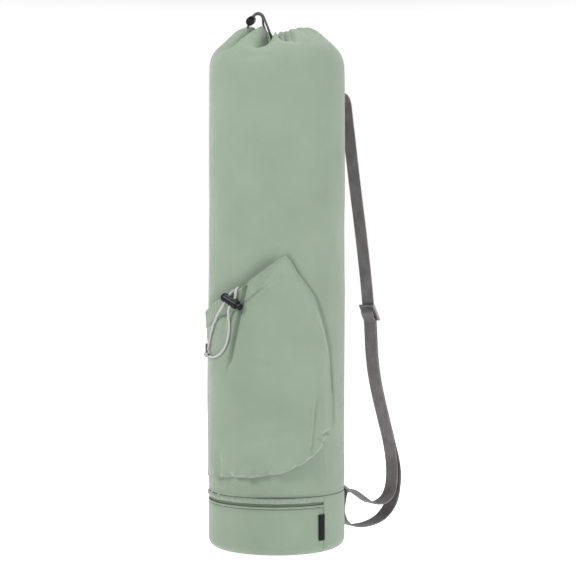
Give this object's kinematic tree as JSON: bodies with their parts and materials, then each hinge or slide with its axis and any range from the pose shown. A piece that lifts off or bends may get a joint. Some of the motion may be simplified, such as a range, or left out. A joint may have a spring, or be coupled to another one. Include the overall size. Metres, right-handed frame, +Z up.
{
  "type": "yoga mat bag",
  "caption": "Upright drawstring mat bag with a zipped base compartment, a slanted bottle pocket with an elastic cord and lock, and a webbing shoulder strap.",
  "frame": {"origin": "middle of the flat bottom that the bag stands on", "axes": "+Z up along the tube, the front with the pocket's mouth towards -Y, the strap at the right and back"},
  "size_m": [0.2691, 0.2287, 0.6978],
  "materials": {
    "cloth": "sage green coated canvas, matt, fine weave",
    "zip_cloth": "sage green zip tape and welt",
    "zip_coil": "dark green nylon coil",
    "zip_metal": "green lacquered zip slider",
    "tag_weave": "black woven tape, blank",
    "cord_weave": "light grey braided elastic cord",
    "drawcord_weave": "dark grey braided cord",
    "black_plastic": "black moulded plastic",
    "webbing": "warm grey polyester webbing",
    "grey_plastic": "grey moulded plastic"
  },
  "bodies": {
    "bag": {"main_tube": "cloth", "divider_floor": "cloth", "base_bottom": "cloth", "base_front_panel": "cloth", "base_back_panel": "cloth", "zip_top_welt": "zip_cloth", "zip_chain": "zip_coil", "zip_low_welt": "zip_cloth", "zip_slider": "zip_metal", "woven_tag": "tag_weave", "pocket_panel": "cloth", "pocket_cord_left": "cord_weave", "pocket_cord_right": "cord_weave", "pocket_cord_knot": "cord_weave", "pocket_lock_barrel": "black_plastic", "drawcord_left": "drawcord_weave", "drawcord_right": "drawcord_weave", "drawcord_lock_barrel": "black_plastic", "strap": "webbing", "ring_tab": "webbing", "strap_ring": "grey_plastic", "strap_slider": "grey_plastic"},
    "pocket_button": {"pocket_lock_button": "black_plastic"},
    "drawcord_button": {"drawcord_lock_button": "black_plastic"}
  },
  "joints": [
    {"name": "pocket_button_press", "type": "slide", "parent": "bag", "child": "pocket_button", "axis": [-0.7807, 0.3904, 0.488], "range_m": [0, 0.003], "stiffness_N_per_m": 400, "springref_m": -0.004},
    {"name": "drawcord_button_press", "type": "slide", "parent": "bag", "child": "drawcord_button", "axis": [0.0998, 0.9578, 0.2694], "range_m": [0, 0.003], "stiffness_N_per_m": 400, "springref_m": -0.004}
  ]
}
